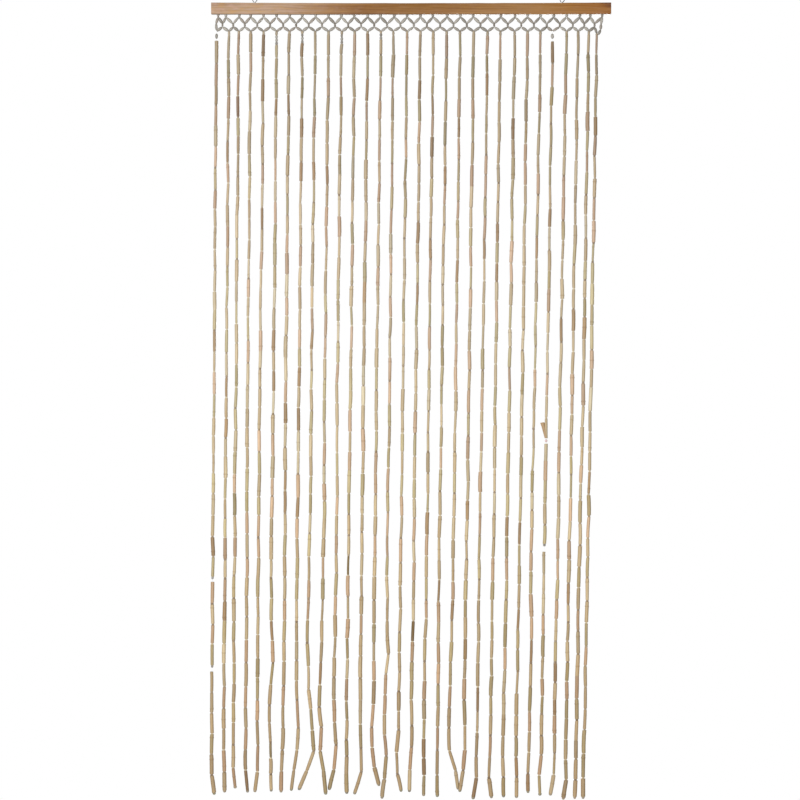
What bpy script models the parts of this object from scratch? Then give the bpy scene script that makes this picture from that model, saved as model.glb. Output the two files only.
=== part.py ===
"""A door curtain of bamboo tubes: a wooden lath with two screw eyes, a heading net of beads, and 31 strands.

The origin is the middle of the lath's top face. +X runs to the right along the lath, +Y to the back, +Z up.
"""
import math
import random
from collections import namedtuple

import bmesh
import bpy
from mathutils import Vector

MM = 0.001  # sizes below are in millimetres, and become metres where a mesh is made
CLEARANCE = 0.3  # left between pieces that touch

# The lath, a flat bar that stands on its edge
RAIL_LENGTH = 900.0
RAIL_DEPTH = 12.0
RAIL_HEIGHT = 25.0
RAIL_EASE = 0.8  # how far its edges are planed off

# The screw eyes: one wire each, with a pear-shaped eye on a short shank
EYE_PLACES = {"screw_eye_left": -352.0, "screw_eye_right": 340.0}
EYE_WIRE = 1.8
EYE_RING = 5.3  # from the ring's middle to the middle of its wire
EYE_LIFT = 8.6  # the ring's middle over the lath
EYE_SHANK = 9.0  # how deep the shank goes
EYE_OPEN = 48.0  # degrees of the ring, from straight down, where the wire leaves it for the shank
EYE_STEPS = 14  # straight steps round the ring
EYE_SIDES = 8
EYE_NECK = ((0.0, -1.0), (0.5, 0.9))  # (sideways, up) of the wire where it turns from the shank into the ring
EYE_TIP = (-2.2, 1.9)  # and where it ends, just short of the shank
PILOT_HOLE = EYE_WIRE + 2 * CLEARANCE
PILOT_DEPTH = EYE_SHANK + 2.0
PILOT_SIDES = 12
CUT_PAST = 2.0  # a cutter stands this far out of the face that it cuts

# The heading net. Heights are measured down from the lath's top.
COLUMN_FOOT = 33.0  # where a column parts into its two slanting beads
CROSSING_TOP = 44.5  # where slanting beads from two columns meet
CROSSING_FOOT = 52.5
STRIP_TOP = 54.2  # the lowest row of slanting beads, on the line of its upper bends
STRAND_ROOT = 65.0
BEAD_WIDTH = 5.2
THREAD_WIDTH = 2.6  # the net's narrow places, between two beads
UPRIGHT_END = 2.1  # ends of the standing beads, which run into the zigzag
UPRIGHT_DEPTH = 0.2  # and stand this much behind its mid-plane
UPRIGHT_LAP = 0.5  # how far they run into it
# The straight chains at the net's two ends: (across, down) of the places between their beads
CHAIN_LEFT_BEND = (-439.0, 46.0)
CHAIN_LEFT_FOOT = (-438.0, 60.5)
CHAIN_RIGHT_BEND = (427.4, 47.5)
CHAIN_RIGHT_KNEE = (426.8, 60.0)
CHAIN_RIGHT_FOOT = (423.0, 67.5)

# The strands
FIRST_TUBE = (67.0, 74.0)  # the highest and lowest place for a first tube's top, down from the lath's top
LATE_TUBES = {1: 85.0, 27: 87.0}  # strands with a lone bead and bare thread above their first tube
LONE_BEAD = 74.5  # its middle
LONE_BEAD_HALF = 5.5
ROOT_LAP = 0.5  # how far a strand's root starts above the middle of the net's thread
TUBE_PITCH = 47.5
TUBE_UNEVEN = 0.13  # share by which one tube is longer or shorter
TUBE_WIDTH = 6.9
TUBE_WIDTH_LOW = 8.2  # the lowest tubes are thicker
TUBE_WIDTH_SPREAD = 0.85
TUBE_WIDTHS = (5.3, 9.2)  # the thinnest and the thickest
STRAND_WIDTH_SPREAD = 0.35  # how much one whole strand is thicker or thinner than the next
CURTAIN_DROP = 1790.0
JOINT_GAP = 3.2  # between the ends of two tubes, where the bead shows
JOINT_STEP = 1.05  # tubes whose widths differ by less meet without a step
SIDE_WANDER = 1.2  # how far a joint strays sideways
DEPTH_WANDER = 1.2
SWING_FROM = 1480.0  # below this a strand may swing to the front or back
BARE_WIDTH = 2.4  # thread where no tube covers it
WIDTH_SEED = 1000  # keeps the draws of widths apart from the draws of places

# One row a strand, left to right. column: where its column of beads leaves the lath. top: where the strand
# leaves the net. swing: how far its tip stands in front (-) or behind (+). bends: (across, down) of the
# strand's main bends, the last one its tip.
Strand = namedtuple("Strand", "column top swing bends")
STRANDS = (
    Strand(-434, -438, 0, ((-445, 1015), (-447, 1291), (-447, 1303), (-448, 1490), (-449, 1505), (-449, 1737),
                           (-443, 1782))),
    Strand(-417, -410, 0, ((-418, 1020), (-422, 1681), (-420, 1777))),
    Strand(-387, -388, 1, ((-396, 1010), (-401, 1721), (-396, 1768))),
    Strand(-361, -361, 0, ((-369, 1000), (-371, 1433), (-373, 1726), (-368, 1777))),
    Strand(-332, -332, -1, ((-342, 1010), (-346, 1568), (-346, 1730), (-352, 1776))),
    Strand(-303, -303, 0, ((-311, 1020), (-315, 1200), (-315, 1390), (-311, 1485), (-319, 1580), (-316, 1700),
                           (-315, 1775))),
    Strand(-273, -274, 1, ((-284, 1000), (-285, 1343), (-290, 1681), (-293, 1777))),
    Strand(-245, -245, 0, ((-254, 1010), (-258, 1343), (-257, 1568), (-254, 1631), (-257, 1681), (-264, 1726),
                           (-270, 1773))),
    Strand(-215, -216, -2, ((-226, 1020), (-227, 1150), (-234, 1440), (-231, 1545), (-226, 1588),
                            (-219, 1683), (-235, 1728), (-253, 1771))),
    Strand(-186, -186, -4, ((-196, 1040), (-195, 1120), (-199, 1343), (-207, 1584), (-202, 1629),
                            (-205, 1683), (-197, 1728), (-192, 1781))),
    Strand(-157, -156, 4, ((-162, 480), (-167, 900), (-166, 1110), (-174, 1568), (-169, 1670), (-174, 1726),
                           (-185, 1772))),
    Strand(-128, -127, 0, ((-138, 1010), (-146, 1658), (-145, 1780))),
    Strand(-98, -98, 0, ((-109, 1060), (-114, 1568), (-112, 1730), (-128, 1781))),
    Strand(-69, -68, 4, ((-79, 1010), (-84, 1440), (-85, 1578), (-89, 1630), (-88, 1676), (-83, 1721),
                         (-72, 1763))),
    Strand(-38, -40, -4, ((-50, 1000), (-54, 1200), (-54, 1390), (-51, 1465), (-57, 1510), (-60, 1647),
                          (-56, 1694), (-60, 1746), (-66, 1790))),
    Strand(-9, -9, 0, ((-20, 1010), (-28, 1636), (-33, 1686), (-31, 1735), (-22, 1775))),
    Strand(21, 21, 1, ((8, 1020), (5, 1390), (0, 1568), (1, 1674), (-3, 1726), (-4, 1776))),
    Strand(49, 50, 0, ((38, 1010), (34, 1343), (29, 1568), (28, 1785))),
    Strand(81, 80, -1, ((67, 1000), (63, 1253), (59, 1681), (59, 1787))),
    Strand(111, 110, 5, ((105, 530), (98, 1010), (94, 1343), (85, 1631), (86, 1683), (100, 1728),
                          (106, 1771))),
    Strand(140, 141, -5, ((127, 1119), (122, 1343), (119, 1568), (121, 1681), (117, 1726), (109, 1775))),
    Strand(172, 172, 0, ((158, 1010), (152, 1343), (147, 1744), (139, 1792))),
    Strand(202, 201, 1, ((188, 1000), (182, 1433), (177, 1697), (175, 1744), (181, 1790))),
    Strand(234, 233, 0, ((219, 1010), (214, 1343), (206, 1697), (208, 1788))),
    Strand(262, 262, -1, ((248, 1020), (236, 1697), (237, 1789))),
    Strand(291, 291, 0, ((276, 1000), (272, 1100), (269, 1330), (271, 1433), (265, 1686), (263, 1778))),
    Strand(321, 318, 0, ((304, 982), (300, 1217), (299, 1235), (293, 1692), (288, 1737), (290, 1784))),
    Strand(350, 350, 1, ((333, 1010), (330, 1253), (323, 1568), (323, 1688), (321, 1737), (313, 1784))),
    Strand(380, 376, 0, ((360, 1020), (356, 1253), (348, 1658), (349, 1748), (342, 1793))),
    Strand(403, 400, -1, ((385, 1000), (381, 1119), (373, 1613), (370, 1748), (368, 1791))),
    Strand(430, 418, 0, ((402, 1010), (390, 1636), (387, 1744), (387, 1791))),
)
# Stretches with no tube on the thread: the strand's number, and the height of the stretch's upper end
BARE_STRETCHES = {(1, 1291), (1, 1490), (27, 1217)}
LAST_STRAND_ROOT = 70.0  # strand 31 leaves the net lower
# A sliver split off a tube of strand 27: (across, down) of its free end and its foot
SLIVER = ((294.0, 945.0), (304.0, 980.0))
SLIVER_WIDTH = 5.0
SLIVER_END = 1.2  # radius at both its ends

SPAN_3 = 2 * math.cos(math.radians(30))  # width of a three-sided section for each unit of radius
SPAN_4 = 2.0

Colour = namedtuple("Colour", "red green blue roughness metallic")
VARNISHED_WOOD = Colour(0.42, 0.23, 0.09, 0.42, 0.0)
ZINC_WIRE = Colour(0.62, 0.64, 0.63, 0.32, 1.0)
GREY_BEADS = Colour(0.42, 0.39, 0.34, 0.4, 0.0)
BAMBOO = Colour(0.50, 0.37, 0.21, 0.6, 0.0)


def clear_scene():
    for thing in list(bpy.data.objects):
        bpy.data.objects.remove(thing, do_unlink=True)


def make_material(name, colour):
    material = bpy.data.materials.new(name)
    material.use_nodes = True
    shader = material.node_tree.nodes["Principled BSDF"]
    shader.inputs["Base Color"].default_value = (colour.red, colour.green, colour.blue, 1.0)
    shader.inputs["Roughness"].default_value = colour.roughness
    shader.inputs["Metallic"].default_value = colour.metallic
    return material


def add_object(name, mesh_maker, material):
    """One object whose mesh a bmesh function fills."""
    bm = bmesh.new()
    mesh_maker(bm)
    bmesh.ops.recalc_face_normals(bm, faces=bm.faces)
    mesh = bpy.data.meshes.new(name)
    bm.to_mesh(mesh)
    bm.free()
    mesh.materials.append(material)
    thing = bpy.data.objects.new(name, mesh)
    bpy.context.scene.collection.objects.link(thing)
    return thing


def as_cutter(thing):
    thing.hide_render = True
    thing.display_type = "WIRE"
    return thing


def add_boolean(thing, other, operation):
    modifier = thing.modifiers.new(operation.title(), "BOOLEAN")
    modifier.operation = operation
    modifier.object = other
    modifier.solver = "EXACT"


def at(across, down, depth=0.0):
    """A point in metres, from millimetres across, down from the lath's top, and behind its mid-plane."""
    return Vector((across * MM, depth * MM, -down * MM))


def add_loft(bm, stations, sides):
    """A closed solid through (point, radius) stations: a ring square to the path at each, and two caps."""
    points = [point for point, _ in stations]
    depth = Vector((0.0, 1.0, 0.0))
    rings = []
    for index, (point, radius) in enumerate(stations):
        before = points[max(index - 1, 0)]
        after = points[min(index + 1, len(points) - 1)]
        along = (after - before).normalized()
        sideways = along.cross(depth).normalized()
        forward = sideways.cross(along).normalized()
        ring = []
        for side in range(sides):
            turn = 2 * math.pi * side / sides - math.pi / 2
            offset = sideways * math.cos(turn) + forward * math.sin(turn)
            ring.append(bm.verts.new(point + offset * radius * MM))
        rings.append(ring)
    for upper, lower in zip(rings, rings[1:]):
        for side in range(sides):
            following = (side + 1) % sides
            bm.faces.new((upper[side], upper[following], lower[following], lower[side]))
    bm.faces.new(rings[0])
    bm.faces.new(rings[-1])


def build_rail(material):
    half = Vector((RAIL_LENGTH / 2, RAIL_DEPTH / 2, RAIL_HEIGHT / 2)) * MM

    def fill(bm):
        bmesh.ops.create_cube(bm, size=2.0)
        bmesh.ops.scale(bm, vec=half, verts=bm.verts)
        bmesh.ops.translate(bm, vec=(0.0, 0.0, -half.z), verts=bm.verts)

    rail = add_object("head_rail", fill, material)
    ease = rail.modifiers.new("Eased edges", "BEVEL")
    ease.width = RAIL_EASE * MM
    ease.segments = 2
    for name, across in EYE_PLACES.items():
        add_boolean(rail, build_pilot_hole(name, across, material), "DIFFERENCE")


def build_pilot_hole(name, across, material):
    radius = PILOT_HOLE / 2 * MM

    def fill(bm):
        bmesh.ops.create_cone(bm, cap_ends=True, segments=PILOT_SIDES, radius1=radius, radius2=radius,
                              depth=(PILOT_DEPTH + CUT_PAST) * MM)
        bmesh.ops.translate(bm, vec=(across * MM, 0.0, (CUT_PAST - PILOT_DEPTH) / 2 * MM), verts=bm.verts)

    return as_cutter(add_object("pilot_hole_for_" + name, fill, material))


def build_screw_eye(name, across, material):
    """One wire: up the shank, out along the pear's side, round the ring, and back beside the shank."""
    start = math.radians(EYE_OPEN - 90.0)
    sweep = math.radians(360.0 - 2 * EYE_OPEN)
    route = [(0.0, -EYE_SHANK), *EYE_NECK]
    for step in range(EYE_STEPS + 1):
        turn = start + sweep * step / EYE_STEPS
        route.append((EYE_RING * math.cos(turn), EYE_LIFT + EYE_RING * math.sin(turn)))
    route.append(EYE_TIP)
    stations = [(at(across + side, -up), EYE_WIRE / 2) for side, up in route]
    add_object(name, lambda bm: add_loft(bm, stations, EYE_SIDES), material)


def crossing_places():
    """Where the slanting beads of each two neighbouring columns cross: midway between columns and strands."""
    return [(a.column + b.column + a.top + b.top) / 4 for a, b in zip(STRANDS, STRANDS[1:])]


def beaded(route, narrow=THREAD_WIDTH, depth=0.0):
    """Stations for a string of beads: narrow at each point of the route, and full halfway to the next."""
    stations = [(at(*route[0], depth), narrow / SPAN_4)]
    for before, after in zip(route, route[1:]):
        middle = ((before[0] + after[0]) / 2, (before[1] + after[1]) / 2)
        stations.append((at(*middle, depth), BEAD_WIDTH / SPAN_4))
        stations.append((at(*after, depth), narrow / SPAN_4))
    return stations


def upright_bead(across, top, foot):
    """One standing bead, whose ends are a little narrower than the string that they run into."""
    return beaded([(across, top), (across, foot)], UPRIGHT_END, UPRIGHT_DEPTH)


def build_bead_net(material):
    """The upper zigzag of beads with a straight chain at each end, a column over each upper bend, and a
    standing bead under each lower bend."""
    crossings = crossing_places()
    zigzag = [(STRANDS[0].column, COLUMN_FOOT)]
    for crossing, strand in zip(crossings, STRANDS[1:]):
        zigzag.append((crossing, CROSSING_TOP))
        zigzag.append((strand.column, COLUMN_FOOT))
    chain_left = [CHAIN_LEFT_FOOT, CHAIN_LEFT_BEND]
    chain_right = [CHAIN_RIGHT_BEND, CHAIN_RIGHT_KNEE, CHAIN_RIGHT_FOOT]
    route = chain_left + zigzag + chain_right
    net = add_object("bead_net", lambda bm: add_loft(bm, beaded(route), 4), material)
    columns = [upright_bead(strand.column, RAIL_HEIGHT + CLEARANCE, COLUMN_FOOT + UPRIGHT_LAP)
               for strand in STRANDS]
    standing = [upright_bead(crossing, CROSSING_TOP - UPRIGHT_LAP, CROSSING_FOOT) for crossing in crossings]

    def fill(bm):
        for stations in columns + standing:
            add_loft(bm, stations, 4)

    upright = as_cutter(add_object("columns_and_crossings", fill, material))
    add_boolean(net, upright, "UNION")


def strand_root(number):
    return LAST_STRAND_ROOT if number == len(STRANDS) else STRAND_ROOT


def strand_joints(number, strand):
    """(across, down, depth) of every joint along a strand, from its first tube's top to its tip."""
    draw = random.Random(number)
    start = draw.uniform(*FIRST_TUBE) + strand_root(number) - STRAND_ROOT
    start = LATE_TUBES.get(number, start)
    route = [(strand.top, start)] + list(strand.bends)
    joints = [(strand.top, start, 0.0)]
    for (x0, down0), (x1, down1) in zip(route, route[1:]):
        count = max(1, round((down1 - down0) / TUBE_PITCH))
        shares = [1.0 + draw.uniform(-TUBE_UNEVEN, TUBE_UNEVEN) for _ in range(count)]
        reached = 0.0
        for step, share in enumerate(shares, 1):
            reached += share / sum(shares)
            stray = draw.uniform(-SIDE_WANDER, SIDE_WANDER) if step < count else 0.0
            down = down0 + (down1 - down0) * reached
            lean = max(0.0, down - SWING_FROM) / (CURTAIN_DROP - SWING_FROM)
            depth = strand.swing * lean + draw.uniform(-DEPTH_WANDER, DEPTH_WANDER)
            joints.append((x0 + (x1 - x0) * reached + stray, down, depth))
    return joints


def tube_widths(number, joints):
    """The width of the tube that hangs between each two joints, or of the thread where no tube does."""
    draw = random.Random(WIDTH_SEED + number)
    own = draw.uniform(-STRAND_WIDTH_SPREAD, STRAND_WIDTH_SPREAD)
    widths = []
    for _, down, _ in joints[:-1]:
        share = (down / CURTAIN_DROP) ** 2
        usual = TUBE_WIDTH + (TUBE_WIDTH_LOW - TUBE_WIDTH) * share + own
        width = min(max(draw.gauss(usual, TUBE_WIDTH_SPREAD), TUBE_WIDTHS[0]), TUBE_WIDTHS[1])
        bare = (number, round(down)) in BARE_STRETCHES
        widths.append(BARE_WIDTH if bare else width)
    return widths


def strand_stations(number, strand):
    """A strand's rings: its root in the strip of beads, then a ring or a step at each joint."""
    joints = strand_joints(number, strand)
    widths = tube_widths(number, joints)
    stations = [(at(strand.top, strand_root(number) - ROOT_LAP), THREAD_WIDTH / SPAN_3)]
    first_ring = at(*joints[0])
    if number in LATE_TUBES:
        stations.append((at(strand.top, LONE_BEAD), BEAD_WIDTH / SPAN_3))
        stations.append((at(strand.top, LONE_BEAD + LONE_BEAD_HALF), BARE_WIDTH / SPAN_3))
        stations.append((first_ring - at(0.0, 1.0), BARE_WIDTH / SPAN_3))
    stations.append((first_ring, widths[0] / SPAN_3))
    for joint, above, below in zip(joints[1:-1], widths, widths[1:]):
        point = at(*joint)
        if abs(above - below) < JOINT_STEP:
            stations.append((point, (above + below) / 2 / SPAN_3))
            continue
        half_gap = at(0.0, JOINT_GAP / 2)
        stations.append((point - half_gap, above / SPAN_3))
        stations.append((point + half_gap, below / SPAN_3))
    stations.append((at(*joints[-1]), widths[-1] / SPAN_3))
    return stations


def build_tube_strands(material):
    """The lowest row of slanting beads, with the 31 strands fused to its lower bends."""
    route = [(STRANDS[0].top, STRAND_ROOT)]
    for number, (crossing, strand) in enumerate(zip(crossing_places(), STRANDS[1:]), 2):
        route.append((crossing, STRIP_TOP))
        route.append((strand.top, strand_root(number)))
    strip = add_object("tube_strands", lambda bm: add_loft(bm, beaded(route), 4), material)

    def fill(bm):
        for number, strand in enumerate(STRANDS, 1):
            add_loft(bm, strand_stations(number, strand), 3)

    strands = as_cutter(add_object("strands", fill, material))
    add_boolean(strip, strands, "UNION")
    tip, foot = SLIVER
    middle = ((tip[0] + foot[0]) / 2, (tip[1] + foot[1]) / 2)
    split = [(at(*tip), SLIVER_END), (at(*middle), SLIVER_WIDTH / SPAN_3), (at(*foot), SLIVER_END)]
    sliver = as_cutter(add_object("sliver", lambda bm: add_loft(bm, split, 3), material))
    add_boolean(strip, sliver, "UNION")


def build():
    clear_scene()
    wire = make_material("zinc_wire", ZINC_WIRE)
    build_rail(make_material("varnished_wood", VARNISHED_WOOD))
    for name, across in EYE_PLACES.items():
        build_screw_eye(name, across, wire)
    build_bead_net(make_material("grey_beads", GREY_BEADS))
    build_tube_strands(make_material("bamboo", BAMBOO))


build()
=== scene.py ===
"""Looks of a bamboo bead curtain: varnished rail, screw eyes, heading net of beads, strands of cane tubes."""

import math
import random
from collections import namedtuple

import bmesh
import bpy
from mathutils import Matrix, Vector


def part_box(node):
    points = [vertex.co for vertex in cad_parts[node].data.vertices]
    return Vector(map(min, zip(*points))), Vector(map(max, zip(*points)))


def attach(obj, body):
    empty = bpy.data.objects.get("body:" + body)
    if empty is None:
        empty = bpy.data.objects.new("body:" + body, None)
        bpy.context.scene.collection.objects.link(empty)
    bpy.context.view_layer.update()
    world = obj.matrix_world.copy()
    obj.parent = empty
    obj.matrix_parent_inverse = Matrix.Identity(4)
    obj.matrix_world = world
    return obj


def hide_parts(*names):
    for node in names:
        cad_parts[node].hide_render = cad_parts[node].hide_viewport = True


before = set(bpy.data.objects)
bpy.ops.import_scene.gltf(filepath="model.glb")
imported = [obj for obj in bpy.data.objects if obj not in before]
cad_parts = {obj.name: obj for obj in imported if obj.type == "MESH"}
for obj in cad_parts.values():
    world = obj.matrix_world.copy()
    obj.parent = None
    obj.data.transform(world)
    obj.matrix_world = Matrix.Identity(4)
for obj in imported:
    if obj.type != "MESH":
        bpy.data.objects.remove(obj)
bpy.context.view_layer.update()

MM = 0.001  # sizes below are in millimetres, and become metres where a shape is made

# The picture: a square, this wide at the depth of the tubes' fronts, seen straight from the front with a long
# lens. Its middle is measured as everything else is: across, and down from the rail's top
PICTURE_WIDTH = 1800.0
PICTURE_ACROSS = -25.1
PICTURE_DOWN = 893.5
PICTURE_DEPTH = -3.0
CAMERA_LENS = 100.0
CAMERA_SENSOR = 36.0
FLOOR_DOWN = 2050.0
FLOOR_REACH = 1150.0

# The heading net's beads, down from the rail's top: up to 3 mm higher or lower than the solids' ones
COLUMN_HEAD = 24.3
COLUMN_FOOT = 31.5
CROSSING_TOP = 46.6
CROSSING_FOOT = 53.4
STRIP_TOP = 53.7
VERTEX_RISE = 1.6  # how far the lowest beads meet above a strand's root
WAIST_LAP = 1.0  # how far a crossing's bead reaches up between the slanting ones
STRAND_ROOT = 65.0
LAST_STRAND_ROOT = 70.0
CHAIN_LEFT = ((-438.0, 60.5), (-439.0, 46.0))  # the chain at each end, as (across, down)
CHAIN_RIGHT = ((427.4, 47.5), (426.8, 60.0), (421.0, 71.5))
NET_BEAD = 7.0
WAIST_WIDTH = 5.2
NET_THREAD = 1.4
BEAD_STRAY = (0.3, 0.5, 0.3)  # how far a bead sits off its place: across, in depth and in height

# The length of the net's beads for their stretch of thread, and how it and the beads' widths vary
SLANT_SHARE = 0.92
CHAIN_SHARE = 1.02
COLUMN_SHARE = 1.06
WAIST_SHARE = 1.1
LENGTH_VARIES = (0.92, 1.03)
NET_BEAD_VARIES = (0.92, 1.08)
STRAND_BEAD_VARIES = (0.93, 1.07)

# The strands, as the solids have them
FIRST_TUBE = (67.0, 74.0)  # how far down the first tube may start
LATE_TUBES = {1: 85.0, 27: 87.0}  # strands whose first tube starts lower, under a lone bead
LONE_BEAD = 74.5
LONE_BEAD_HALF = 5.5
TUBE_PITCH = 47.5
TUBE_UNEVEN = 0.13
TUBE_WIDTH = 6.9
TUBE_WIDTH_LOW = 8.2
TUBE_WIDTH_SPREAD = 0.85
TUBE_WIDTHS = (5.3, 9.2)
STRAND_WIDTH_SPREAD = 0.35
CURTAIN_DROP = 1790.0
SIDE_WANDER = 1.2
DEPTH_WANDER = 1.2
SWING_FROM = 1480.0  # how far down the tips begin to swing forward or back
WIDTH_SEED = 1000

# What only this script shows
LOOK_SEED = 7
STRAND_THREAD = 0.5
BORE = 0.60  # a tube's bore for its width
SPACER_LENGTH = 5.6  # of the bead between two tubes
SPACER_GROWTH = 0.18  # how much wider these beads are at the foot, where the tubes are wider
LAST_TUBE_EXTRA = 0.7  # how much thicker than the solid's a strand's last tube is
STOP_BEAD = (7.6, 6.8)  # width and length of the bead at a strand's end
STOP_SHOWS = 5.0  # how much of it hangs out of the last tube
LOOSE_BEAD = (6.2, 6.6)  # width and length of a bead that shows whole, at a bare stretch
LOOSE_BEAD_LAP = 0.6  # how far it reaches into the tube above
TOP_BEAD = (6.6, 7.4)  # width and length of a bead over a strand's first tube
TOP_BEAD_RISE = 2.5  # how far the topmost one reaches up between the net's lowest beads
TOP_BEAD_LAP = 1.5  # and how far down into the first tube
BEADED_TOPS = {6: 3, 8: 3, 11: 3, 14: 2}  # strands that start with a few beads more
BARED_JOINTS = {(27, 982): 10.0}  # a joint where the lower tube has slipped down, and how far

# A sliver of a split tube over the bared joint: its free end and its foot as (across, down)
SLIVER_ENDS = ((295.7, 943.8), (303.4, 979.0))
SLIVER_WIDTH = 8.6
SLIVER_TURN = math.pi / 2
SLIVER_BROWN = (172, 140, 104)

# One row a strand, left to right: where its column leaves the rail, where it leaves the net, how far its tip
# swings forward (-) or back (+), and its main bends as (across, down), the last one its tip
Strand = namedtuple("Strand", "column top swing bends")
STRANDS = (
    Strand(-434, -438, 0, ((-445, 1015), (-447, 1291), (-447, 1303), (-448, 1490), (-449, 1505), (-449, 1737),
                           (-443, 1782))),
    Strand(-417, -410, 0, ((-418, 1020), (-422, 1681), (-420, 1777))),
    Strand(-387, -388, 1, ((-396, 1010), (-401, 1721), (-396, 1768))),
    Strand(-361, -361, 0, ((-369, 1000), (-371, 1433), (-373, 1726), (-368, 1777))),
    Strand(-332, -332, -1, ((-342, 1010), (-346, 1568), (-346, 1730), (-352, 1776))),
    Strand(-303, -303, 0, ((-311, 1020), (-315, 1200), (-315, 1390), (-311, 1485), (-319, 1580), (-316, 1700),
                           (-315, 1775))),
    Strand(-273, -274, 1, ((-284, 1000), (-285, 1343), (-290, 1681), (-293, 1777))),
    Strand(-245, -245, 0, ((-254, 1010), (-258, 1343), (-257, 1568), (-254, 1631), (-257, 1681), (-264, 1726),
                           (-270, 1773))),
    Strand(-215, -216, -2, ((-226, 1020), (-227, 1150), (-234, 1440), (-231, 1545), (-226, 1588),
                            (-219, 1683), (-235, 1728), (-253, 1771))),
    Strand(-186, -186, -4, ((-196, 1040), (-195, 1120), (-199, 1343), (-207, 1584), (-202, 1629),
                            (-205, 1683), (-197, 1728), (-192, 1781))),
    Strand(-157, -156, 4, ((-162, 480), (-167, 900), (-166, 1110), (-174, 1568), (-169, 1670), (-174, 1726),
                           (-185, 1772))),
    Strand(-128, -127, 0, ((-138, 1010), (-146, 1658), (-145, 1780))),
    Strand(-98, -98, 0, ((-109, 1060), (-114, 1568), (-112, 1730), (-128, 1781))),
    Strand(-69, -68, 4, ((-79, 1010), (-84, 1440), (-85, 1578), (-89, 1630), (-88, 1676), (-83, 1721),
                         (-72, 1763))),
    Strand(-38, -40, -4, ((-50, 1000), (-54, 1200), (-54, 1390), (-51, 1465), (-57, 1510), (-60, 1647),
                          (-56, 1694), (-60, 1746), (-66, 1790))),
    Strand(-9, -9, 0, ((-20, 1010), (-28, 1636), (-33, 1686), (-31, 1735), (-22, 1775))),
    Strand(21, 21, 1, ((8, 1020), (5, 1390), (0, 1568), (1, 1674), (-3, 1726), (-4, 1776))),
    Strand(49, 50, 0, ((38, 1010), (34, 1343), (29, 1568), (28, 1785))),
    Strand(81, 80, -1, ((67, 1000), (63, 1253), (59, 1681), (59, 1787))),
    Strand(111, 110, 5, ((105, 530), (98, 1010), (94, 1343), (85, 1631), (86, 1683), (100, 1728),
                          (106, 1771))),
    Strand(140, 141, -5, ((127, 1119), (122, 1343), (119, 1568), (121, 1681), (117, 1726), (109, 1775))),
    Strand(172, 172, 0, ((158, 1010), (152, 1343), (147, 1744), (139, 1792))),
    Strand(202, 201, 1, ((188, 1000), (182, 1433), (177, 1697), (175, 1744), (181, 1790))),
    Strand(234, 233, 0, ((219, 1010), (214, 1343), (206, 1697), (208, 1788))),
    Strand(262, 262, -1, ((248, 1020), (236, 1697), (237, 1789))),
    Strand(291, 291, 0, ((276, 1000), (272, 1100), (269, 1330), (271, 1433), (265, 1686), (263, 1778))),
    Strand(321, 318, 0, ((304, 982), (300, 1217), (299, 1235), (293, 1692), (288, 1737), (290, 1784))),
    Strand(350, 350, 1, ((333, 1010), (330, 1253), (323, 1568), (323, 1688), (321, 1737), (313, 1784))),
    Strand(380, 376, 0, ((360, 1020), (356, 1253), (348, 1658), (349, 1748), (342, 1793))),
    Strand(403, 400, -1, ((385, 1000), (381, 1119), (373, 1613), (370, 1748), (368, 1791))),
    Strand(430, 418, 0, ((402, 1010), (390, 1636), (387, 1744), (387, 1791))),
)
# (strand, down) of the joints below which the thread is bare
BARE_STRETCHES = {(1, 1291), (1, 1490), (27, 1217)}


def at(across, down, depth=0.0):
    """A point in metres, from millimetres across, down from the rail's top, and behind its mid-plane."""
    return Vector((across * MM, depth * MM, -down * MM))


def paint(red, green, blue):
    """A colour from its display values out of 255, as Blender's linear values."""
    shares = [value / 255 for value in (red, green, blue)]
    return tuple(s / 12.92 if s <= 0.04045 else ((s + 0.055) / 1.055) ** 2.4 for s in shares)


# Materials, and the colours in them as display values

CANE_BAND = (150, 118, 82)
CANE_NODE = (126, 98, 68)
# painted shade inside a tube's bore
CANE_BORE_SHADE = (120, 98, 72)
BEAD_CLOUD = (196, 192, 184)
LINE_CLEAR = (214, 213, 208)
LINE_SCUFFED = (236, 236, 232)
WOOD_RING = (100, 64, 36)
WOOD_PINK = (172, 138, 124)
WOOD_GOLD = (170, 126, 70)
WOOD_STREAK = (182, 139, 86)
WOOD_PORE = (112, 76, 44)
# painted shade: the colour that the rail's upper and lower edges darken towards
WOOD_EDGE_SHADE = (112, 82, 56)
ZINC_DULL = (84, 86, 85)
ZINC_BRIGHT = (128, 130, 128)
FLOOR_GREYS = ((226, 226, 224), (234, 234, 232))
CANE_FIBRES = (900.0, 900.0, 34.0)  # how closely the fibres lie along X, Y and Z
RAIL_FIBRES = (11.0, 420.0, 420.0)


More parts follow.
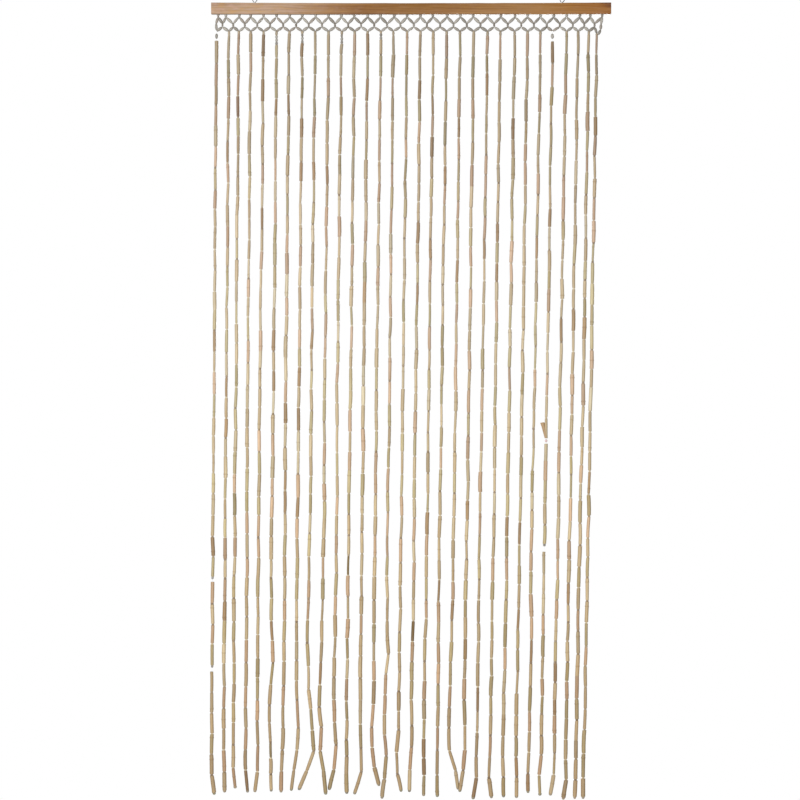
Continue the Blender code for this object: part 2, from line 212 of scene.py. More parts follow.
class Wiring:
    """A node tree with short ways to add and join nodes."""

    def __init__(self, tree):
        self.tree = tree
        self.column = 0

    def add(self, kind, **settings):
        node = self.tree.nodes.new(kind)
        node.location = (self.column, 0)
        self.column += 180
        for name, value in settings.items():
            setattr(node, name, value)
        return node

    def join(self, source, target):
        self.tree.links.new(source, target)

    def fill(self, socket, value):
        """Gives an input a plain value, or joins it to another node's output."""
        if isinstance(value, bpy.types.NodeSocket):
            self.join(value, socket)
        else:
            socket.default_value = value

    def feed(self, node, **inputs):
        """Fills a node's inputs by their names, or by their places as _0, _1 and so on."""
        for name, value in inputs.items():
            is_place = name[0] == "_" and name[1:].isdigit()
            self.fill(node.inputs[int(name[1:]) if is_place else name.replace("_", " ")], value)

    def maths(self, operation, first, second=0.0, clamp=False):
        node = self.add("ShaderNodeMath", operation=operation, use_clamp=clamp)
        self.feed(node, _0=first, _1=second)
        return node.outputs[0]

    def remap(self, value, low, high, new_low, new_high):
        """What lies between low and high, spread between two new values and held there."""
        node = self.add("ShaderNodeMapRange")
        self.feed(node, Value=value, From_Min=low, From_Max=high, To_Min=new_low, To_Max=new_high)
        return node.outputs[0]

    def multiply(self, vector, factors):
        node = self.add("ShaderNodeVectorMath", operation="MULTIPLY")
        self.feed(node, _0=vector, _1=factors)
        return node.outputs[0]

    def grey(self, value):
        """A colour whose red, green and blue are one value."""
        node = self.add("ShaderNodeCombineColor")
        for socket in node.inputs:
            self.join(value, socket)
        return node.outputs[0]

    def noise(self, vector, scale, detail, roughness):
        node = self.add("ShaderNodeTexNoise", noise_dimensions="3D")
        self.feed(node, Vector=vector, Scale=scale, Detail=detail, Roughness=roughness)
        return node.outputs["Fac"]

    def mix(self, share, first, second, blend="MIX"):
        """A blend of two colours, each another node's output or a plain (red, green, blue)."""
        node = self.add("ShaderNodeMix", data_type="RGBA", blend_type=blend)
        self.fill(node.inputs[0], share)
        for place, colour in ((6, first), (7, second)):
            is_output = isinstance(colour, bpy.types.NodeSocket)
            self.fill(node.inputs[place], colour if is_output else (*colour, 1.0))
        return node.outputs[2]


def make_group(name, inputs, outputs):
    """An empty shader node group with named sockets."""
    group = bpy.data.node_groups.new(name, "ShaderNodeTree")
    for socket, kind in inputs:
        group.interface.new_socket(socket, in_out="INPUT", socket_type=kind)
    for socket, kind in outputs:
        group.interface.new_socket(socket, in_out="OUTPUT", socket_type=kind)
    nodes = Wiring(group)
    return group, nodes, nodes.add("NodeGroupInput"), nodes.add("NodeGroupOutput")


# Name, scale, detail and roughness of each layer of fibres
GRAIN_LAYERS = (("Streaks", 1.0, 4.0, 0.62), ("Bands", 0.22, 2.0, 0.5), ("Pores", 3.1, 2.0, 0.7))
GRAIN_CONTRAST = (0.28, 0.72)
SEED_STEP = 57.0  # how far apart the patterns of two seeds lie


def make_grain_group():
    """Fibres that run one way: fine streaks and broad bands, from coordinates squeezed along the fibre."""
    group, nodes, given, out = make_group(
        "fibre_grain",
        [("Vector", "NodeSocketVector"), ("Squeeze", "NodeSocketVector"), ("Seed", "NodeSocketFloat")],
        [("Streaks", "NodeSocketFloat"), ("Bands", "NodeSocketFloat"), ("Pores", "NodeSocketFloat")])
    scaled = nodes.multiply(given.outputs["Vector"], given.outputs["Squeeze"])
    seeded = nodes.maths("MULTIPLY", given.outputs["Seed"], SEED_STEP)
    for layer, scale, detail, roughness in GRAIN_LAYERS:
        noise = nodes.add("ShaderNodeTexNoise", noise_dimensions="4D")
        nodes.feed(noise, Vector=scaled, W=seeded, Scale=scale, Detail=detail, Roughness=roughness)
        nodes.join(nodes.remap(noise.outputs["Fac"], *GRAIN_CONTRAST, 0.0, 1.0), out.inputs[layer])
    return group


def make_edge_group():
    """Near 1 where a height is close to the low or the high edge of a bar, and 0 between them."""
    group, nodes, given, out = make_group(
        "bar_edges",
        [("Height", "NodeSocketFloat"), ("Low", "NodeSocketFloat"), ("High", "NodeSocketFloat"),
         ("Width", "NodeSocketFloat")],
        [("Edge", "NodeSocketFloat")])
    from_low = nodes.maths("SUBTRACT", given.outputs["Height"], given.outputs["Low"])
    from_high = nodes.maths("SUBTRACT", given.outputs["High"], given.outputs["Height"])
    nearest = nodes.maths("MINIMUM", from_low, from_high)
    share = nodes.maths("DIVIDE", nearest, given.outputs["Width"], clamp=True)
    nodes.join(nodes.maths("SUBTRACT", 1.0, share), out.inputs["Edge"])
    return group


GRAIN = make_grain_group()
EDGES = make_edge_group()


def new_material(name):
    """A material, the ways to add nodes to it, its shader, and the coordinates of the piece."""
    material = bpy.data.materials.new(name)
    material.use_nodes = True
    nodes = Wiring(material.node_tree)
    shader = material.node_tree.nodes["Principled BSDF"]
    return material, nodes, shader, nodes.add("ShaderNodeTexCoord").outputs["Object"]


def add_bump(nodes, shader, height, strength, distance):
    bump = nodes.add("ShaderNodeBump")
    nodes.feed(bump, Height=height, Strength=strength, Distance=distance)
    nodes.join(bump.outputs["Normal"], shader.inputs["Normal"])


def bamboo_material():
    """Dry cane: a tint of its own for each tube, lengthwise fibres, browner nodes, and painted shade
    darkening the bore.
    """
    material, nodes, shader, place = new_material("dry_bamboo")
    tint = nodes.add("ShaderNodeAttribute", attribute_name="tint")
    marks = nodes.add("ShaderNodeAttribute", attribute_name="marks")
    parts = nodes.add("ShaderNodeSeparateColor")
    nodes.join(marks.outputs["Color"], parts.inputs["Color"])
    node_ring, inside, seed = parts.outputs
    grain = nodes.add("ShaderNodeGroup", node_tree=GRAIN)
    nodes.feed(grain, Vector=place, Squeeze=CANE_FIBRES, Seed=seed)
    shade = nodes.remap(grain.outputs["Streaks"], 0.0, 1.0, 0.74, 1.16)
    streaked = nodes.mix(1.0, tint.outputs["Color"], nodes.grey(shade), "MULTIPLY")
    band = nodes.remap(grain.outputs["Bands"], 0.45, 1.0, 0.0, 0.45)
    banded = nodes.mix(band, streaked, paint(*CANE_BAND))
    ringed = nodes.mix(nodes.maths("MULTIPLY", node_ring, 0.30), banded, paint(*CANE_NODE))
    # Painted shade: the bore is darkened, as shade falls inside the tube
    bore_shaded = nodes.mix(nodes.maths("MULTIPLY", inside, 0.7), ringed, paint(*CANE_BORE_SHADE))
    nodes.join(bore_shaded, shader.inputs["Base Color"])
    nodes.join(nodes.remap(grain.outputs["Streaks"], 0.0, 1.0, 0.62, 0.42), shader.inputs["Roughness"])
    add_bump(nodes, shader, grain.outputs["Streaks"], strength=0.45, distance=0.0004)
    return material


def bead_material():
    """Small moulded beads of cloudy clear-grey plastic."""
    material, nodes, shader, place = new_material("grey_bead_plastic")
    tint = nodes.add("ShaderNodeAttribute", attribute_name="tint")
    cloud = nodes.noise(place, scale=420.0, detail=2.0, roughness=0.5)
    clouded = nodes.mix(nodes.remap(cloud, 0.35, 0.7, 0.0, 0.25), tint.outputs["Color"], paint(*BEAD_CLOUD))
    nodes.join(clouded, shader.inputs["Base Color"])
    nodes.join(nodes.remap(cloud, 0.3, 0.7, 0.36, 0.52), shader.inputs["Roughness"])
    shader.inputs["Specular IOR Level"].default_value = 0.35
    add_bump(nodes, shader, cloud, strength=0.2, distance=0.0003)
    return material


def thread_material():
    """Clear nylon line."""
    material, nodes, shader, place = new_material("clear_nylon_line")
    scuff = nodes.noise(place, scale=260.0, detail=2.0, roughness=0.5)
    nodes.join(nodes.mix(scuff, paint(*LINE_CLEAR), paint(*LINE_SCUFFED)), shader.inputs["Base Color"])
    nodes.join(nodes.remap(scuff, 0.3, 0.7, 0.2, 0.4), shader.inputs["Roughness"])
    return material


# The rail's colour from its left end (0) to its right end (1)
VARNISH = (
    (0.0, (149, 122, 99)),
    (0.05, (159, 135, 112)),
    (0.15, (165, 139, 116)),
    (0.22, (153, 124, 98)),
    (0.30, (135, 99, 66)),
    (0.38, (113, 72, 29)),
    (0.50, (119, 79, 32)),
    (0.60, (127, 86, 42)),
    (0.76, (141, 102, 58)),
    (0.88, (140, 94, 39)),
    (0.975, (134, 82, 29)),
    (1.0, (92, 54, 32)),
)
RAIL_HALF = 0.45  # in metres, as coordinates are
RAIL_EDGES = (-0.0275, 0.0005)  # heights from which the painted shade on its edges is measured
EDGE_SHADE_REACH = 0.0024  # how far in from there the painted shade reaches


def varnish_ramp(nodes, along):
    ramp = nodes.add("ShaderNodeValToRGB")
    nodes.join(along, ramp.inputs[0])
    while len(ramp.color_ramp.elements) < len(VARNISH):
        ramp.color_ramp.elements.new(0.5)
    for element, (position, colour) in zip(ramp.color_ramp.elements, VARNISH):
        element.position = position
        element.color = (*paint(*colour), 1.0)
    return ramp.outputs[0]


def wood_material():
    """Varnished softwood: pale and pinkish at the left end, warm brown in the middle, golden at the right."""
    material, nodes, shader, place = new_material("varnished_wood")
    split = nodes.add("ShaderNodeSeparateXYZ")
    nodes.join(place, split.inputs[0])
    grain = nodes.add("ShaderNodeGroup", node_tree=GRAIN)
    nodes.feed(grain, Vector=place, Squeeze=RAIL_FIBRES, Seed=0.31)
    along = nodes.remap(split.outputs["X"], -RAIL_HALF, RAIL_HALF, 0.0, 1.0)
    strayed = nodes.maths("ADD", along, nodes.remap(grain.outputs["Bands"], 0.0, 1.0, -0.05, 0.05))
    varnish = varnish_ramp(nodes, strayed)

    rings = nodes.add("ShaderNodeTexWave", wave_type="BANDS", bands_direction="Z", wave_profile="SAW")
    flow = nodes.multiply(place, (1.0, 9.0, 9.0))
    nodes.feed(rings, Vector=flow, Scale=6.0, Distortion=11.0, Detail=1.0, Detail_Scale=0.8)
    ringed = nodes.mix(nodes.remap(rings.outputs["Fac"], 0.55, 1.0, 0.0, 0.42), varnish, paint(*WOOD_RING))

    cloud = nodes.noise(nodes.multiply(place, (1.0, 3.0, 3.0)), scale=46.0, detail=3.0, roughness=0.6)
    left = nodes.remap(along, 0.10, 0.40, 1.0, 0.15)
    pink = nodes.maths("MULTIPLY", nodes.remap(cloud, 0.48, 0.66, 0.0, 0.55), left)
    gold = nodes.maths("MULTIPLY", nodes.remap(cloud, 0.50, 0.34, 0.0, 0.50), left)
    mottled = nodes.mix(gold, nodes.mix(pink, ringed, paint(*WOOD_PINK)), paint(*WOOD_GOLD))

    streaks = nodes.remap(grain.outputs["Streaks"], 0.35, 1.0, 0.0, 0.34)
    pores = nodes.remap(grain.outputs["Pores"], 0.55, 1.0, 0.0, 0.38)
    fibrous = nodes.mix(pores, nodes.mix(streaks, mottled, paint(*WOOD_STREAK)), paint(*WOOD_PORE))
    # Painted shade: the colour darkens near the rail's upper and lower edges, where they turn from the light
    edges = nodes.add("ShaderNodeGroup", node_tree=EDGES)
    nodes.feed(edges, Height=split.outputs["Z"], Low=RAIL_EDGES[0], High=RAIL_EDGES[1], Width=EDGE_SHADE_REACH)
    edge_shaded = nodes.mix(nodes.maths("MULTIPLY", edges.outputs["Edge"], 0.5), fibrous, paint(*WOOD_EDGE_SHADE))
    nodes.join(edge_shaded, shader.inputs["Base Color"])
    nodes.join(nodes.remap(grain.outputs["Streaks"], 0.0, 1.0, 0.36, 0.52), shader.inputs["Roughness"])
    shader.inputs["Specular IOR Level"].default_value = 0.22
    shader.inputs["Coat Weight"].default_value = 0.06
    shader.inputs["Coat Roughness"].default_value = 0.25
    add_bump(nodes, shader, grain.outputs["Streaks"], strength=0.25, distance=0.0003)
    return material


def wire_material():
    """Bright zinc plate with faint drawing marks."""
    material, nodes, shader, place = new_material("zinc_wire")
    scuff = nodes.noise(place, scale=900.0, detail=3.0, roughness=0.6)
    nodes.join(nodes.mix(scuff, paint(*ZINC_DULL), paint(*ZINC_BRIGHT)), shader.inputs["Base Color"])
    nodes.join(nodes.remap(scuff, 0.3, 0.7, 0.25, 0.45), shader.inputs["Roughness"])
    shader.inputs["Metallic"].default_value = 1.0
    return material


def floor_material():
    """A plain pale floor, faintly mottled."""
    material, nodes, shader, place = new_material("pale_floor")
    mottle = nodes.noise(place, scale=3.0, detail=2.0, roughness=0.5)
    darker, paler = (paint(*grey) for grey in FLOOR_GREYS)
    nodes.join(nodes.mix(mottle, darker, paler), shader.inputs["Base Color"])
    shader.inputs["Roughness"].default_value = 0.9
    return material


BAMBOO = bamboo_material()
BEAD_PLASTIC = bead_material()
NYLON = thread_material()
WOOD = wood_material()
ZINC = wire_material()

# Modelling by hand: a primitive, shaped in edit mode. Heights and widths are of a form one unit long and wide

END_FROM = 0.495  # a form's end points lie past this height
MIDDLE_TO = 0.45  # and all but its ends below this one
RING_REACH = 0.004  # how far off its height a ring's point may be


def start_primitive():
    if bpy.context.object and bpy.context.object.mode != "OBJECT":
        bpy.ops.object.mode_set(mode="OBJECT")
    bpy.ops.object.select_all(action="DESELECT")


def pick(piece, test):
    """In edit mode, selects the points whose place passes the test, and what lies between them."""
    shape = bmesh.from_edit_mesh(piece.data)
    for point in shape.verts:
        point.select = test(point.co)
    shape.select_flush_mode()
    bmesh.update_edit_mesh(piece.data)


def widen(across, deep):
    bpy.ops.transform.resize(value=(across, deep, 1.0))


def cut_ring(height):
    bpy.ops.mesh.select_all(action="SELECT")
    bpy.ops.mesh.bisect(plane_co=(0.0, 0.0, height), plane_no=(0.0, 0.0, 1.0))


def scale_ring(piece, height, width):
    pick(piece, lambda co: abs(co.z - height) < RING_REACH)
    widen(width, width)


def open_ends(piece, bore):
    """Gives an open-ended barrel a wall: its end edges are drawn in to the bore, and bridged through it."""
    pick(piece, lambda co: abs(co.z) > END_FROM)
    bpy.ops.mesh.extrude_region_move()
    widen(bore, bore)
    bpy.ops.mesh.bridge_edge_loops()


def finish_form(piece, smooth_under):
    """Turns the faces outwards and smooths the edges flatter than an angle in degrees."""
    bpy.ops.mesh.select_all(action="SELECT")
    bpy.ops.mesh.normals_make_consistent(inside=False)
    bpy.ops.object.mode_set(mode="OBJECT")
    bpy.ops.object.shade_smooth_by_angle(angle=math.radians(smooth_under))


def add_barrel(name, sides):
    start_primitive()
    bpy.ops.mesh.primitive_cylinder_add(vertices=sides, radius=0.5, depth=1.0, end_fill_type="NOTHING")
    piece = bpy.context.object
    piece.name = name
    bpy.ops.object.mode_set(mode="EDIT")
    bpy.ops.mesh.select_mode(type="VERT")
    return piece


# One row a form of tube. node: height of its swollen ring, or None. bulge: its width there. bend: how far its
# middle bows. slant: tilt of its upper cut in degrees. taper: width of its upper end
TubeForm = namedtuple("TubeForm", "name node bulge bend slant taper")
TUBE_FORMS = (
    TubeForm("plain", None, 1.0, 0.02, 0.6, 1.0),
    TubeForm("plain_bowed", None, 1.0, 0.07, -1.1, 0.97),
    TubeForm("plain_tapered", None, 1.0, -0.03, 1.3, 0.90),
    TubeForm("node_high", 0.27, 1.16, 0.04, 0.8, 0.97),
    TubeForm("node_middle", -0.04, 1.13, 0.05, -0.7, 0.95),
    TubeForm("node_low", -0.33, 1.18, -0.05, 1.0, 0.94),
)
TUBE_SIDES = 10
TUBE_BORE_WITHIN = 0.36  # points nearer to the axis than this are the bore's
PLAIN_CUTS = (-0.25, 0.2)  # where a tube without a node is cut, so that it can bow
SLANT_FROM = 0.47
NODE_HALF = 0.035  # half the height of a node's ring
NODE_REACH = 0.01  # how far off the ring's height its points may be
NODE_FROM = 0.4  # points farther from the axis than this are on the outer wall


def mark_form(piece, bore_within, node=None):
    """Marks the node's ring and the bore for the material: red is the node, green is the inside."""
    marks = piece.data.color_attributes.new("marks", "FLOAT_COLOR", "POINT")
    for point, mark in zip(piece.data.vertices, marks.data):
        outward = math.hypot(point.co.x, point.co.y)
        on_node = node is not None and abs(point.co.z - node) < NODE_REACH and outward > NODE_FROM
        mark.color = (float(on_node), float(outward < bore_within), 0.0, 1.0)


def model_tube(form):
    """A hollow tube of cane with open ends, and a node where the form has one."""
    tube = add_barrel("form_" + form.name, TUBE_SIDES)
    has_node = form.node is not None
    cuts = (form.node - NODE_HALF, form.node, form.node + NODE_HALF) if has_node else PLAIN_CUTS
    for height in cuts:
        cut_ring(height)
    if has_node:
        scale_ring(tube, form.node, form.bulge)
    pick(tube, lambda co: abs(co.z) < MIDDLE_TO)
    bpy.ops.transform.translate(value=(form.bend, 0.0, 0.0))
    pick(tube, lambda co: co.z > END_FROM)
    widen(form.taper, form.taper)
    open_ends(tube, BORE)
    pick(tube, lambda co: co.z > SLANT_FROM)
    bpy.ops.transform.rotate(value=math.radians(form.slant), orient_axis="Y", center_override=(0.0, 0.0, 0.5))
    finish_form(tube, smooth_under=50)
    mark_form(tube, TUBE_BORE_WITHIN, form.node)
    return tube


# How the sliver is shaped
SLIVER_SIDES = 12
SLIVER_BORE = 0.7
SLIVER_BORE_WITHIN = 0.4
SLIVER_CUT = 0.25
SLIVER_SPLIT = -0.08  # what lies in front of this depth is kept
SLIVER_RAG_FROM = (0.49, 0.3)  # height, and place across, past which its free end is shorter
SLIVER_RAG = 0.07  # and how much shorter it is
SLIVER_FOOT = 0.7  # width of its foot
SLIVER_FREE_FROM = 0.4  # height past which its free end begins
SLIVER_FREE_END = 1.28  # and how wide that is


def model_sliver():
    """A sliver of a split tube: rather less than half of its wall, ragged at the upper end."""
    sliver = add_barrel("form_sliver", SLIVER_SIDES)
    cut_ring(SLIVER_CUT)
    open_ends(sliver, SLIVER_BORE)
    bpy.ops.mesh.select_all(action="SELECT")
    bpy.ops.mesh.bisect(plane_co=(0.0, SLIVER_SPLIT, 0.0), plane_no=(0.0, 1.0, 0.0), use_fill=True,
                        clear_outer=True)
    pick(sliver, lambda co: co.z > SLIVER_RAG_FROM[0] and co.x > SLIVER_RAG_FROM[1])
    bpy.ops.transform.translate(value=(0.0, 0.0, -SLIVER_RAG))
    pick(sliver, lambda co: co.z < -SLIVER_RAG_FROM[0])
    widen(SLIVER_FOOT, SLIVER_FOOT)
    pick(sliver, lambda co: co.z > SLIVER_FREE_FROM)
    widen(SLIVER_FREE_END, 1.0)
    finish_form(sliver, smooth_under=40)
    mark_form(sliver, SLIVER_BORE_WITHIN)
    return sliver


# (height, width) of a rice-shaped bead from its middle to its end
BEAD_PROFILE = ((0.0, 1.0), (0.29, 0.84), (0.5, 0.46))
BEAD_HOLE = 0.20
BEAD_SIDES = 8


def model_bead():
    """A rice-shaped bead with a hole through it."""
    bead = add_barrel("form_bead", BEAD_SIDES)
    for height, _ in BEAD_PROFILE[:-1]:
        for signed in {height, -height}:
            cut_ring(signed)
    for height, width in BEAD_PROFILE[1:]:
        for signed in (height, -height):
            scale_ring(bead, signed, width)
    open_ends(bead, BEAD_HOLE / BEAD_PROFILE[-1][1])
    finish_form(bead, smooth_under=60)
    return bead


def bead_reach(bore, bead_width):
    """How far from a spacer bead's middle its width shrinks to a bore, in millimetres: a tube rests there."""
    wanted = bore / bead_width
    for (height, width), (next_height, next_width) in zip(BEAD_PROFILE, BEAD_PROFILE[1:]):
        if wanted >= next_width:
            share = min(max((width - wanted) / (width - next_width), 0.0), 1.0)
            return (height + (next_height - height) * share) * SPACER_LENGTH
    return SPACER_LENGTH / 2


TUBES = [model_tube(form) for form in TUBE_FORMS]
TUBES += TUBES[:3]  # tubes without a node come more often
BEAD = model_bead()
SPLIT = model_sliver()


def stretch_copy(form, upper, lower, width, turn, tint, seed=0.0):
    """A copy of a form with a mesh of its own, stretched between two points in metres, with its own tint."""
    piece = form.copy()
    piece.data = form.data.copy()
    bpy.context.scene.collection.objects.link(piece)
    axis = upper - lower
    place = Matrix.Translation((upper + lower) / 2) @ axis.to_track_quat("Z", "Y").to_matrix().to_4x4()
    size = Matrix.Diagonal((width * MM, width * MM, axis.length, 1.0))
    piece.data.transform(place @ Matrix.Rotation(turn, 4, "Z") @ size)
    layer = piece.data.color_attributes.new("tint", "FLOAT_COLOR", "POINT")
    layer.data.foreach_set("color", [*tint, 1.0] * len(piece.data.vertices))
    marks = piece.data.color_attributes.get("marks")
    if marks:
        for mark in marks.data:
            mark.color = (mark.color[0], mark.color[1], seed, 1.0)
    return piece


def join_pieces(pieces, name, material):
    """One object, at the origin, of several pieces."""
    start_primitive()
    for piece in pieces:
        piece.select_set(True)
    bpy.context.view_layer.objects.active = pieces[0]
    if len(pieces) > 1:
        bpy.ops.object.join()
    joined = bpy.context.object
    joined.name = name
    joined.data.name = name
    joined.data.materials.clear()
    joined.data.materials.append(material)
    joined.select_set(False)
    return joined


def add_line(name, route, width, material, roundness=1):
    """A thin round line through points in metres, as a closed mesh."""
    curve = bpy.data.curves.new(name, "CURVE")
    curve.dimensions = "3D"
    curve.bevel_depth = width / 2 * MM
    curve.bevel_resolution = roundness
    curve.use_fill_caps = True
    spline = curve.splines.new("POLY")
    spline.points.add(len(route) - 1)
    for point, place in zip(spline.points, route):
        point.co = (*place, 1.0)
    line = bpy.data.objects.new(name, curve)
    bpy.context.scene.collection.objects.link(line)
    start_primitive()
    line.select_set(True)
    bpy.context.view_layer.objects.active = line
    bpy.ops.object.convert(target="MESH")
    line = bpy.context.object
    bpy.ops.object.shade_smooth()
    line.data.materials.append(material)
    return line


def dress(piece, node):
    """Hangs a finished piece under the root body, and hides the solid that it stands for."""
    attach(piece, "root")
    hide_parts(node)


# The rail

RAIL_EASE = 1.1
RAIL_STEPS = 30  # how many stretches it is cut into, so that it can sag
RAIL_BUMP = 0.2  # how uneven its planed edges are
RAIL_SAG = (1.5, 0.5)  # how far the middle of its top and of its foot hangs below their ends
RAIL_RISE = (0.6, 0.0)  # and how far those ends stand above the solid's


def build_rail():
    low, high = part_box("head_rail")
    size = high - low
    start_primitive()
    bpy.ops.mesh.primitive_cube_add(size=1.0, location=(low + high) / 2, scale=size)
    rail = bpy.context.object
    rail.name = "rail"
    bpy.ops.object.transform_apply(location=True, rotation=True, scale=True)
    bpy.ops.object.mode_set(mode="EDIT")
    bpy.ops.mesh.select_all(action="SELECT")
    bpy.ops.mesh.bevel(offset=RAIL_EASE * MM, segments=3, affect="EDGES")
    for step in range(1, RAIL_STEPS):
        bpy.ops.mesh.select_all(action="SELECT")
        across = low.x + size.x * step / RAIL_STEPS
        bpy.ops.mesh.bisect(plane_co=(across, 0.0, 0.0), plane_no=(1.0, 0.0, 0.0))
    bpy.ops.object.mode_set(mode="OBJECT")
    draw = random.Random(LOOK_SEED)
    lifts = [draw.uniform(-RAIL_BUMP, RAIL_BUMP) * MM for _ in range(RAIL_STEPS + 1)]
    for point in rail.data.vertices:
        share = (point.co.x - low.x) / size.x
        at_foot = point.co.z < (low.z + high.z) / 2
        sag = RAIL_SAG[at_foot] * (1.0 - (2.0 * share - 1.0) ** 2) - RAIL_RISE[at_foot]
        point.co.z += lifts[round(share * RAIL_STEPS)] - sag * MM
    bpy.ops.object.shade_smooth_by_angle(angle=math.radians(35))
    rail.data.materials.append(WOOD)
    dress(rail, "head_rail")


# The screw eyes, on the solids' own line

EYE_WIRE = 1.8
EYE_RING = 5.3  # from the ring's centre to the wire's middle
EYE_LIFT = 8.6  # of the ring's centre over the rail
EYE_SHANK = 9.0  # how deep it is screwed in
EYE_OPEN = 48.0  # half the ring's opening at its foot, in degrees
EYE_STEPS = 40
EYE_NECK = ((0.0, -1.0), (0.12, 0.1), (0.9, 1.5))  # (across, up) from the rail to the ring
EYE_TIP = (-2.0, 1.2)
EYE_PLACES = {"screw_eye_left": -352.0, "screw_eye_right": 340.0}


def build_eye(node, across):
    start = math.radians(EYE_OPEN - 90.0)
    sweep = math.radians(360.0 - 2 * EYE_OPEN)
    route = [(0.0, -EYE_SHANK), *EYE_NECK]
    for step in range(EYE_STEPS + 1):
        turn = start + sweep * step / EYE_STEPS
        route.append((EYE_RING * math.cos(turn), EYE_LIFT + EYE_RING * math.sin(turn)))
    route.append(EYE_TIP)
    points = [at(across + side, -up) for side, up in route]
    eye = add_line(node + "_wire", points, EYE_WIRE, ZINC, roundness=3)
    dress(eye, node)


# The heading net

def crossing_places():
    return [(a.column + b.column + a.top + b.top) / 4 for a, b in zip(STRANDS, STRANDS[1:])]


def strand_root(number):
    return LAST_STRAND_ROOT if number == len(STRANDS) else STRAND_ROOT


# The colours that the beads vary between, in the net and at the strands' ends
BEAD_GREYS = ((134, 128, 119), (142, 137, 129), (120, 114, 105), (134, 125, 115), (150, 145, 136))
WAIST_GREYS = ((112, 105, 95), (120, 113, 103), (106, 97, 86))
STOP_GREYS = ((132, 120, 96), (118, 108, 88), (142, 124, 96), (122, 114, 84))
BEAD_PINKS = ((210, 180, 178),)
# And between tubes, before the tone of their height
BEAD_CREAMS = ((210, 190, 156), (202, 182, 148))
BEAD_SANDS = ((192, 168, 134), (180, 158, 124), (172, 150, 118))
BEAD_BROWNS = ((144, 116, 84), (136, 110, 78), (156, 130, 98))
# The beads between tubes: colours, thinnest and thickest width, and how far down they darken as the tubes do
SpacerKind = namedtuple("SpacerKind", "colours thinnest thickest tone_limit")
SPACER_KINDS = (
    SpacerKind(BEAD_CREAMS, 4.4, 5.4, 1180.0),
    SpacerKind(BEAD_SANDS, 5.0, 6.2, 1600.0),
    SpacerKind(BEAD_BROWNS, 5.6, 6.6, 1790.0),
)
# A row of beads on one thread: its route as (across, down), their width, length for each stretch, and greys
BeadRow = namedtuple("BeadRow", "route width length_share greys")


def string_beads(row, draw):
    """A bead on each stretch of a row's route, a little uneven, with the thread that they sit on."""
    beads = []
    points = [at(across, down) for across, down in row.route]
    for upper, lower in zip(points, points[1:]):
        stray = Vector([draw.uniform(-reach, reach) for reach in BEAD_STRAY]) * MM
        middle = (upper + lower) / 2 + stray
        half = (upper - lower) / 2 * row.length_share * draw.uniform(*LENGTH_VARIES)
        shade = draw.choice(row.greys)
        width = row.width * draw.uniform(*NET_BEAD_VARIES)
        turn = draw.uniform(0.0, math.pi)
        beads.append(stretch_copy(BEAD, middle + half, middle - half, width, turn, paint(*shade)))
    return beads, add_line("net_line", points, NET_THREAD, NYLON)


def upper_rows(crossings):
    """The columns, the slanting beads under them, the standing beads and the chain at each end."""
    zigzag = [(STRANDS[0].column, COLUMN_FOOT)]
    for crossing, strand in zip(crossings, STRANDS[1:]):
        zigzag.append((crossing, CROSSING_TOP))
        zigzag.append((strand.column, COLUMN_FOOT))
    rows = [BeadRow([*CHAIN_LEFT, zigzag[0]], NET_BEAD, CHAIN_SHARE, BEAD_GREYS),
            BeadRow(zigzag, NET_BEAD, SLANT_SHARE, BEAD_GREYS),
            BeadRow([zigzag[-1], *CHAIN_RIGHT], NET_BEAD, CHAIN_SHARE, BEAD_GREYS)]
    for strand in STRANDS:
        column = [(strand.column, COLUMN_HEAD), (strand.column, COLUMN_FOOT)]
        rows.append(BeadRow(column, NET_BEAD, COLUMN_SHARE, BEAD_GREYS))
    for crossing in crossings:
        waist = [(crossing, CROSSING_TOP - WAIST_LAP), (crossing, CROSSING_FOOT)]
        rows.append(BeadRow(waist, WAIST_WIDTH, WAIST_SHARE, WAIST_GREYS))
    return rows


def lower_row(crossings):
    """The lowest slanting beads, from which the strands hang."""
    route = [(STRANDS[0].top, STRAND_ROOT - VERTEX_RISE)]
    for number, (crossing, strand) in enumerate(zip(crossings, STRANDS[1:]), 2):
        route.append((crossing, STRIP_TOP))
        route.append((strand.top, strand_root(number) - VERTEX_RISE))
    return BeadRow(route, NET_BEAD, SLANT_SHARE, BEAD_GREYS)


def build_net():
    draw = random.Random(LOOK_SEED + 1)
    crossings = crossing_places()
    for name, rows, node in (("net_upper", upper_rows(crossings), "bead_net"),
                             ("net_lower", [lower_row(crossings)], "tube_strands")):
        beads, lines = [], []
        for row in rows:
            more, line = string_beads(row, draw)
            beads += more
            lines.append(line)
        dress(join_pieces(beads, name + "_beads", BEAD_PLASTIC), node)
        dress(join_pieces(lines, name + "_thread", NYLON), node)


# The strands

def strand_joints(number, strand):
    """(across, down, depth) of every joint along a strand, drawn exactly as the solids draw them."""
    draw = random.Random(number)
    start = draw.uniform(*FIRST_TUBE) + strand_root(number) - STRAND_ROOT
    start = LATE_TUBES.get(number, start)
    route = [(strand.top, start)] + list(strand.bends)
    joints = [(strand.top, start, 0.0)]
    for (x0, down0), (x1, down1) in zip(route, route[1:]):
        count = max(1, round((down1 - down0) / TUBE_PITCH))
        shares = [1.0 + draw.uniform(-TUBE_UNEVEN, TUBE_UNEVEN) for _ in range(count)]
        reached = 0.0
        for step, share in enumerate(shares, 1):
            reached += share / sum(shares)
            stray = draw.uniform(-SIDE_WANDER, SIDE_WANDER) if step < count else 0.0
            down = down0 + (down1 - down0) * reached
            lean = max(0.0, down - SWING_FROM) / (CURTAIN_DROP - SWING_FROM)
            depth = strand.swing * lean + draw.uniform(-DEPTH_WANDER, DEPTH_WANDER)
            joints.append((x0 + (x1 - x0) * reached + stray, down, depth))
    return joints


